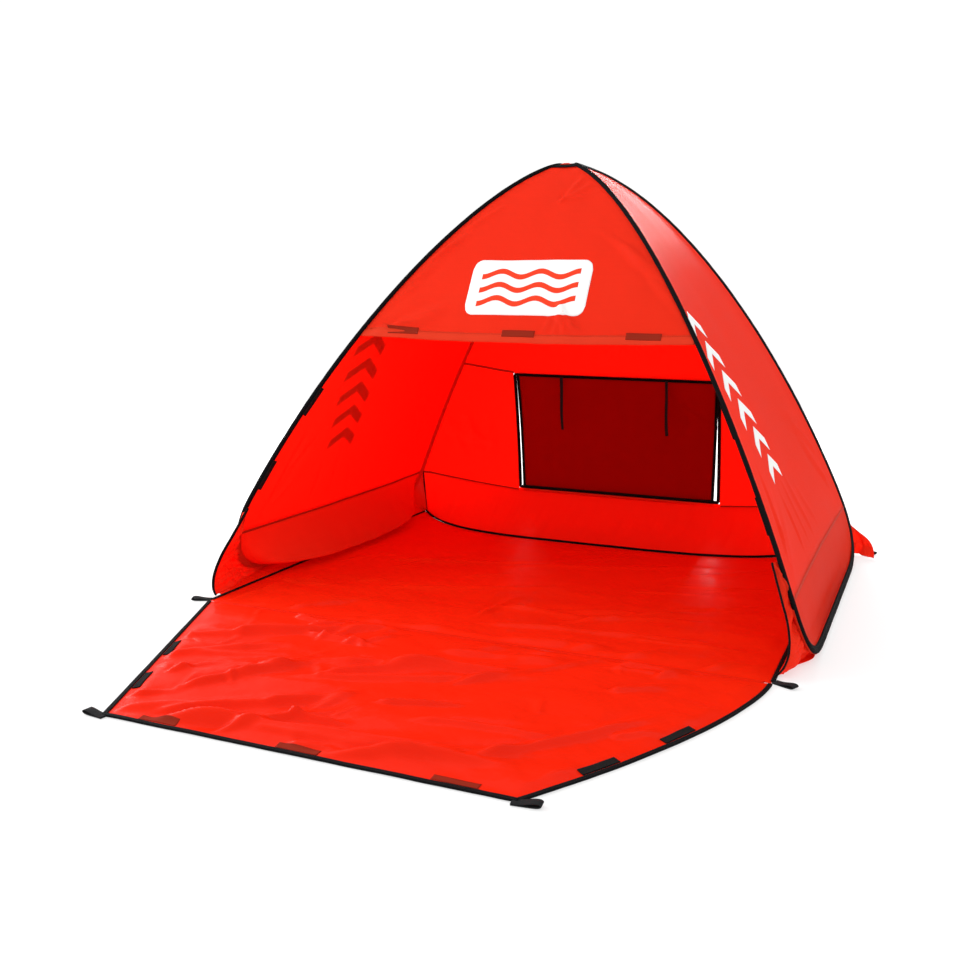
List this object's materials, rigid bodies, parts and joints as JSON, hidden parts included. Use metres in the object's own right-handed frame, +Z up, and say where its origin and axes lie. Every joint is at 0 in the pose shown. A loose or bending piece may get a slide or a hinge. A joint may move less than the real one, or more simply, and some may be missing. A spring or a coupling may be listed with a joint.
{
  "type": "pop-up shade shelter",
  "caption": "Pop-up shelter: two leaf-shaped panels on sprung hoops, front visor, back wall with window flap, floor and a door sheet that lies on the ground or closes the front.",
  "frame": {"origin": "on the ground, in the middle of the footprint box", "axes": "+Z up, +X to the right seen from the open front, +Y towards the back wall"},
  "size_m": [1.899, 2.2888, 1.2959],
  "materials": {
    "wall_fabric": "thin woven polyester, lets light through, slight sheen",
    "floor_fabric": "coated polyester, glossy, softly creased",
    "flap_fabric": "woven polyester seen against the light",
    "binding_tape": "matt woven tape",
    "webbing": "ribbed polypropylene webbing",
    "hook_and_loop": "brushed hook-and-loop strip",
    "spring_steel": "drawn spring-steel wire"
  },
  "bodies": {
    "root": {"floor_sheet": "floor_fabric", "floor_binding_rear": "binding_tape", "floor_binding_left": "binding_tape", "floor_binding_right": "binding_tape", "back_panel_upper": "wall_fabric", "back_panel_lower": "wall_fabric", "window_binding": "binding_tape", "window_tie_left": "webbing", "window_tie_right": "webbing", "visor_panel": "wall_fabric", "visor_patch_left": "hook_and_loop", "visor_patch_centre": "hook_and_loop", "visor_patch_right": "hook_and_loop", "side_skirt_left": "floor_fabric", "front_gusset_left": "wall_fabric", "front_gusset_binding_left": "binding_tape", "rear_gusset_left": "wall_fabric", "rear_gusset_binding_left": "binding_tape", "peg_loop_floor_left": "webbing", "peg_loop_rear_left": "webbing", "side_skirt_right": "floor_fabric", "front_gusset_right": "wall_fabric", "front_gusset_binding_right": "binding_tape", "rear_gusset_right": "wall_fabric", "rear_gusset_binding_right": "binding_tape", "peg_loop_floor_right": "webbing", "peg_loop_rear_right": "webbing"},
    "left_side": {"hoop_wire_left": "spring_steel", "hoop_sleeve_left": "binding_tape", "side_panel_upper_left": "wall_fabric", "side_panel_lower_left": "wall_fabric", "closure_tab_upper_left": "hook_and_loop", "closure_tab_lower_left": "hook_and_loop"},
    "right_side": {"hoop_wire_right": "spring_steel", "hoop_sleeve_right": "binding_tape", "side_panel_upper_right": "wall_fabric", "side_panel_lower_right": "wall_fabric", "closure_tab_upper_right": "hook_and_loop", "closure_tab_lower_right": "hook_and_loop"},
    "door": {"door_sheet": "floor_fabric", "door_binding_front": "binding_tape", "door_binding_left": "binding_tape", "door_binding_right": "binding_tape", "door_patch_front_left": "hook_and_loop", "door_patch_front_centre": "hook_and_loop", "door_patch_front_right": "hook_and_loop", "door_patch_side_left_rear": "hook_and_loop", "door_patch_side_left_front": "hook_and_loop", "door_patch_side_right_rear": "hook_and_loop", "door_patch_side_right_front": "hook_and_loop", "peg_loop_door_left": "webbing", "peg_loop_door_right": "webbing"},
    "flap": {"window_flap": "flap_fabric", "window_flap_binding": "binding_tape"}
  },
  "joints": [
    {"name": "side_fold_right", "type": "hinge", "parent": "root", "child": "right_side", "pos_m": [0.6, 0, 1.35], "axis": [0, 1, 0], "range_deg": [0, 35], "stiffness_Nm_per_rad": 8, "springref_deg": -20.05, "deforming": ["floor_sheet", "floor_binding_rear", "floor_binding_left", "floor_binding_right", "back_panel_upper", "back_panel_lower", "window_binding", "window_tie_left", "window_tie_right", "visor_panel", "visor_patch_left", "visor_patch_centre", "visor_patch_right", "side_skirt_left", "front_gusset_left", "front_gusset_binding_left", "rear_gusset_left", "rear_gusset_binding_left", "peg_loop_floor_left", "peg_loop_rear_left", "side_skirt_right", "front_gusset_right", "front_gusset_binding_right", "rear_gusset_right", "rear_gusset_binding_right", "peg_loop_floor_right", "peg_loop_rear_right", "window_flap", "window_flap_binding"]},
    {"name": "side_fold_left", "type": "hinge", "parent": "root", "child": "left_side", "pos_m": [-0.6, 0, 1.35], "axis": [0, -1, 0], "range_deg": [0, 35], "stiffness_Nm_per_rad": 8, "springref_deg": -20.05},
    {"name": "door_lift", "type": "hinge", "parent": "root", "child": "door", "pos_m": [0, -0.3254, 0.002], "axis": [-1, 0, 0], "range_deg": [0, 110]},
    {"name": "window_flap_swing", "type": "hinge", "parent": "root", "child": "flap", "pos_m": [0, 1.026, 0.5929], "axis": [1, 0, 0], "range_deg": [0, 120]}
  ],
  "couplings": [
    {"joint": "side_fold_left", "follows": "side_fold_right", "ratio": 1}
  ]
}
